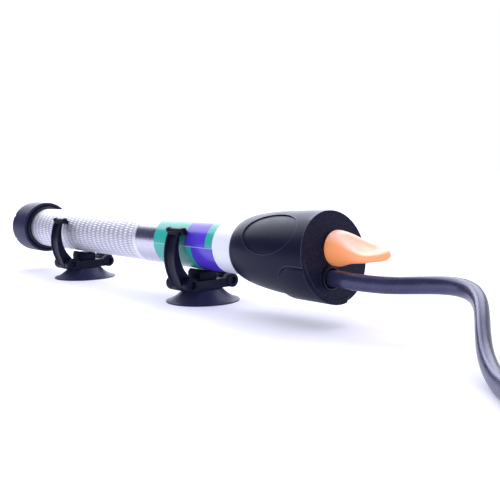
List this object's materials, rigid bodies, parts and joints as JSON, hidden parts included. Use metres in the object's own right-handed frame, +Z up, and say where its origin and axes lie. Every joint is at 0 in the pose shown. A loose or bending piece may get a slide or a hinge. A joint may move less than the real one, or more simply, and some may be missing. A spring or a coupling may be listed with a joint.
{
  "type": "submersible aquarium heater",
  "caption": "Submersible aquarium heater: steel sheath tube with black head and end cap, turning orange knob, hinged clip brackets on suction cups, coiled cord with plug.",
  "frame": {"origin": "on the surface that the suction cups stand on, under the middle of the heater from end cap to knob tip", "axes": "+X along the tube from the end cap to the knob, +Z up"},
  "size_m": [0.44, 0.0802, 0.0419],
  "materials": {
    "black_plastic": "satin moulded black plastic",
    "clip_plastic": "satin moulded black plastic",
    "rubber": "soft black rubber",
    "steel": "polished steel, embossed over the heating zone",
    "film": "glossy printed film with teal, violet and white bands",
    "orange_plastic": "glossy orange plastic",
    "ceramic": "fired white ceramic",
    "mica": "rolled mica sheet",
    "laminate": "board laminate",
    "brass": "bright brass",
    "spring_steel": "bimetal strip",
    "wire": "resistance wire",
    "silver": "bright plated metal",
    "magnet": "dull dark magnet",
    "capacitor": "dipped blue film",
    "brown_lead": "brown sleeve",
    "blue_lead": "blue sleeve",
    "cord": "satin black cord sheath"
  },
  "bodies": {
    "heater": {"heating_tube": "steel", "label_wrap": "film", "end_cap": "black_plastic", "cap_collar": "rubber", "head_housing": "black_plastic", "clamp_cover": "black_plastic", "cord_gland": "rubber", "tube_seal": "rubber", "spindle_seal": "rubber", "ceramic_core": "ceramic", "heating_coil": "wire", "mica_sleeve": "mica", "core_disc_rear": "ceramic", "core_disc_front": "ceramic", "thermostat_board": "laminate", "blade_anchor": "brass", "bimetal_blade": "spring_steel", "leaf_anchor": "brass", "contact_leaf": "brass", "lower_contact": "silver", "upper_contact": "silver", "snap_magnet": "magnet", "capacitor": "capacitor", "thermal_fuse": "silver", "terminal_block": "ceramic", "live_lead": "brown_lead", "neutral_lead": "blue_lead", "live_core": "brown_lead", "neutral_core": "blue_lead", "cord_run": "cord", "cord_coil": "cord", "cord_tail": "cord", "plug_body": "cord", "plug_pin_left": "silver", "plug_pin_right": "silver"},
    "knob": {"adjusting_knob": "orange_plastic", "adjusting_spindle": "steel"},
    "front_bracket": {"front_bracket_base": "clip_plastic", "front_near_hinge_pin": "clip_plastic", "front_far_hinge_pin": "clip_plastic"},
    "front_near_clip": {"front_near_claw": "clip_plastic"},
    "front_far_clip": {"front_far_claw": "clip_plastic"},
    "front_cup": {"front_suction_cup": "rubber"},
    "rear_bracket": {"rear_bracket_base": "clip_plastic", "rear_near_hinge_pin": "clip_plastic", "rear_far_hinge_pin": "clip_plastic"},
    "rear_near_clip": {"rear_near_claw": "clip_plastic"},
    "rear_far_clip": {"rear_far_claw": "clip_plastic"},
    "rear_cup": {"rear_suction_cup": "rubber"}
  },
  "joints": [
    {"name": "knob_turn", "type": "hinge", "parent": "heater", "child": "knob", "pos_m": [0.114, 0.00139, 0.02839], "axis": [1, 0, 0], "range_deg": [-135, 135]},
    {"name": "front_bracket_slide", "type": "slide", "parent": "heater", "child": "front_bracket", "axis": [1, 0, 0], "range_m": [-0.036, 0.025]},
    {"name": "front_near_clip_hinge", "type": "hinge", "parent": "front_bracket", "child": "front_near_clip", "pos_m": [0.0345, -0.01095, 0.0085], "axis": [1, 0, 0], "range_deg": [0, 65]},
    {"name": "front_far_clip_hinge", "type": "hinge", "parent": "front_bracket", "child": "front_far_clip", "pos_m": [0.0345, 0.01095, 0.0085], "axis": [-1, 0, 0], "range_deg": [0, 65]},
    {"name": "front_cup_swivel", "type": "hinge", "parent": "front_bracket", "child": "front_cup", "pos_m": [0.0345, 0, 0], "axis": [0, 0, 1], "continuous": true},
    {"name": "rear_bracket_slide", "type": "slide", "parent": "heater", "child": "rear_bracket", "axis": [1, 0, 0], "range_m": [-0.034, 0.036]},
    {"name": "rear_near_clip_hinge", "type": "hinge", "parent": "rear_bracket", "child": "rear_near_clip", "pos_m": [-0.074, -0.01095, 0.0085], "axis": [1, 0, 0], "range_deg": [0, 65]},
    {"name": "rear_far_clip_hinge", "type": "hinge", "parent": "rear_bracket", "child": "rear_far_clip", "pos_m": [-0.074, 0.01095, 0.0085], "axis": [-1, 0, 0], "range_deg": [0, 65]},
    {"name": "rear_cup_swivel", "type": "hinge", "parent": "rear_bracket", "child": "rear_cup", "pos_m": [-0.074, 0, 0], "axis": [0, 0, 1], "continuous": true}
  ]
}
